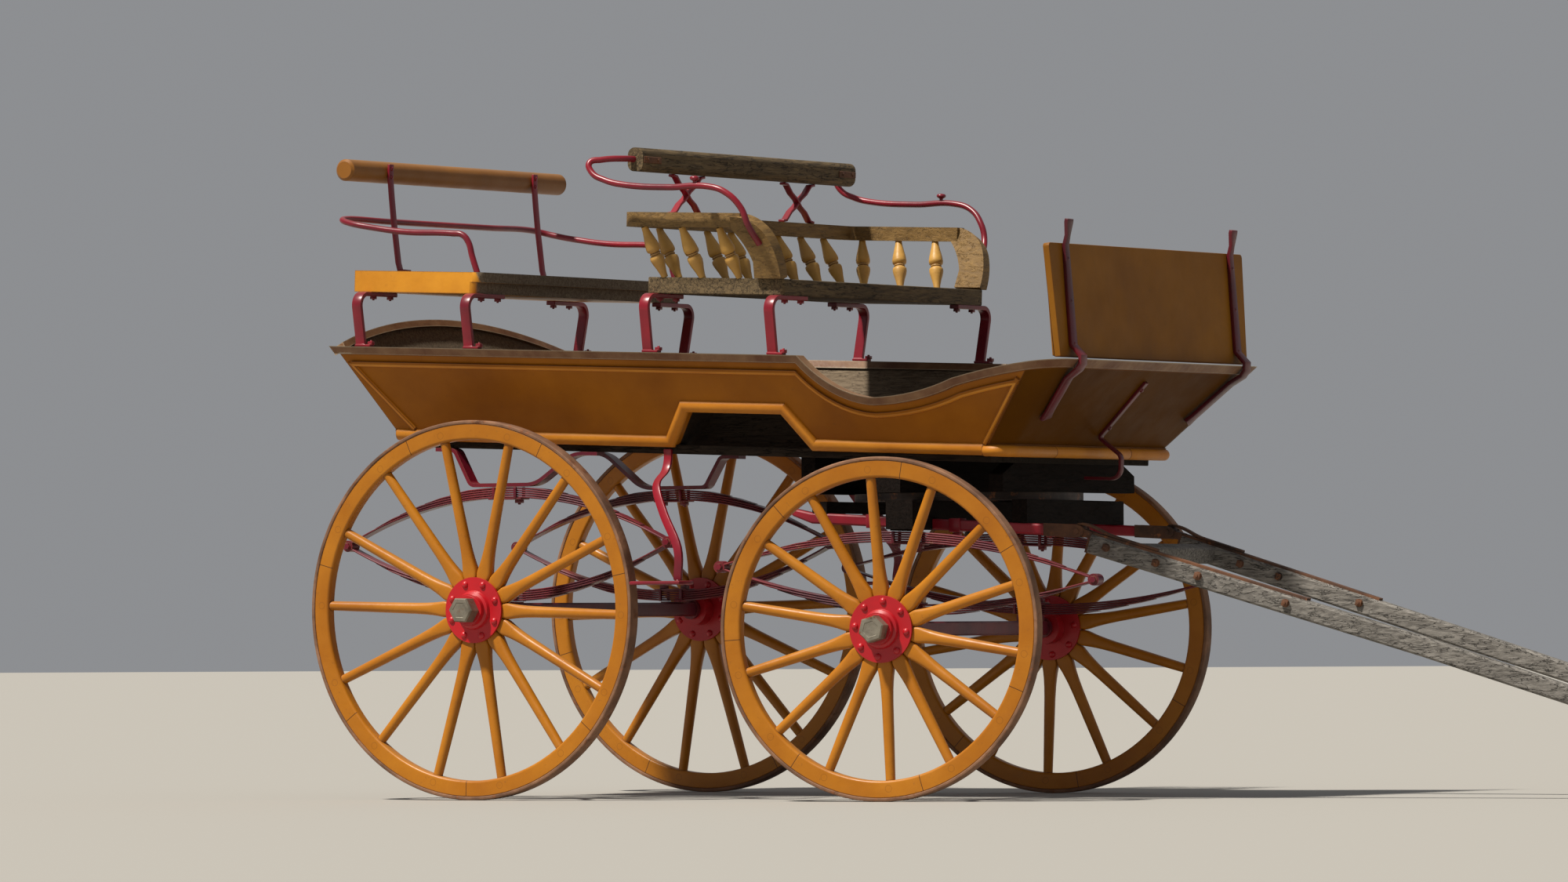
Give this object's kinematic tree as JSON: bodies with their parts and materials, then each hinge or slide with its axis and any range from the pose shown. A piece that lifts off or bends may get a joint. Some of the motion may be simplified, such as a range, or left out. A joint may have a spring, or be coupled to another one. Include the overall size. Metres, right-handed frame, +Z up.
{
  "type": "four-wheeled open bench-seat carriage",
  "caption": "Open horse-drawn wagonette with two bench seats, a boat-shaped ochre tub, dash board, elliptic springs, a turning fore-carriage and a pair of short shafts resting on the ground.",
  "frame": {"origin": "on the ground, midway along the whole length from the tail rail to the shaft tips, on the centre line", "axes": "+X forward towards the shafts, +Y the carriage's left, +Z up"},
  "size_m": [4.7888, 1.588, 2.046],
  "materials": {
    "ochre_paint": "satin",
    "yellow_paint": "satin",
    "worn_rail": "matte",
    "grey_wood": "matte",
    "dark_wood": "matte",
    "red_iron": "satin",
    "rusty_iron": "matte",
    "tyre_iron": "matte"
  },
  "bodies": {
    "carriage": {"side_panel_right": "ochre_paint", "side_panel_left": "ochre_paint", "toe_board": "ochre_paint", "tail_board": "ochre_paint", "dash_board": "ochre_paint", "top_rail": "worn_rail", "floor_board": "dark_wood", "step_recesses": "dark_wood", "body_sills": "dark_wood", "upper_bed": "dark_wood", "front_seat_board": "grey_wood", "front_seat_bow": "grey_wood", "front_backrest": "grey_wood", "front_seat_spindles": "yellow_paint", "rear_seat_board": "yellow_paint", "rear_backrest": "yellow_paint", "dash_irons": "red_iron", "toe_iron": "red_iron", "front_seat_irons": "red_iron", "front_seat_legs": "red_iron", "rear_seat_irons": "red_iron", "rear_seat_legs": "red_iron", "steps": "red_iron", "rear_springs": "red_iron", "loop_irons": "red_iron", "rear_axle": "red_iron", "upper_ring": "rusty_iron", "king_pin": "rusty_iron"},
    "fore_carriage": {"lower_ring": "rusty_iron", "lower_bed": "dark_wood", "ring_bearers": "dark_wood", "futchells": "red_iron", "shaft_jaws": "red_iron", "front_springs": "red_iron", "front_axle": "red_iron"},
    "shafts": {"shafts": "grey_wood", "shaft_irons": "rusty_iron"},
    "rear_wheel_right": {"rear_wheel_right_wood": "yellow_paint", "rear_wheel_right_tyre": "tyre_iron", "rear_wheel_right_nave": "red_iron"},
    "rear_wheel_left": {"rear_wheel_left_wood": "yellow_paint", "rear_wheel_left_tyre": "tyre_iron", "rear_wheel_left_nave": "red_iron"},
    "front_wheel_right": {"front_wheel_right_wood": "yellow_paint", "front_wheel_right_tyre": "tyre_iron", "front_wheel_right_nave": "red_iron"},
    "front_wheel_left": {"front_wheel_left_wood": "yellow_paint", "front_wheel_left_tyre": "tyre_iron", "front_wheel_left_nave": "red_iron"}
  },
  "joints": [
    {"name": "steering", "type": "hinge", "parent": "carriage", "child": "fore_carriage", "pos_m": [-0.382, 0, 0.93], "axis": [0, 0, 1], "range_deg": [-47.1, 32.9]},
    {"name": "shafts_lift", "type": "hinge", "parent": "fore_carriage", "child": "shafts", "pos_m": [0.14393, 0.06551, 0.82887], "axis": [0.1236, -0.9923, 0], "range_deg": [0, 67]},
    {"name": "rear_right_wheel_turn", "type": "hinge", "parent": "carriage", "child": "rear_wheel_right", "pos_m": [-1.781, -0.7115, 0.6], "axis": [0, 1, 0], "continuous": true},
    {"name": "rear_left_wheel_turn", "type": "hinge", "parent": "carriage", "child": "rear_wheel_left", "pos_m": [-1.781, 0.7115, 0.6], "axis": [0, 1, 0], "continuous": true},
    {"name": "front_right_wheel_turn", "type": "hinge", "parent": "fore_carriage", "child": "front_wheel_right", "pos_m": [-0.29406, -0.70604, 0.531], "axis": [-0.1236, 0.9923, 0], "continuous": true},
    {"name": "front_left_wheel_turn", "type": "hinge", "parent": "fore_carriage", "child": "front_wheel_left", "pos_m": [-0.46994, 0.70604, 0.531], "axis": [-0.1236, 0.9923, 0], "continuous": true}
  ]
}
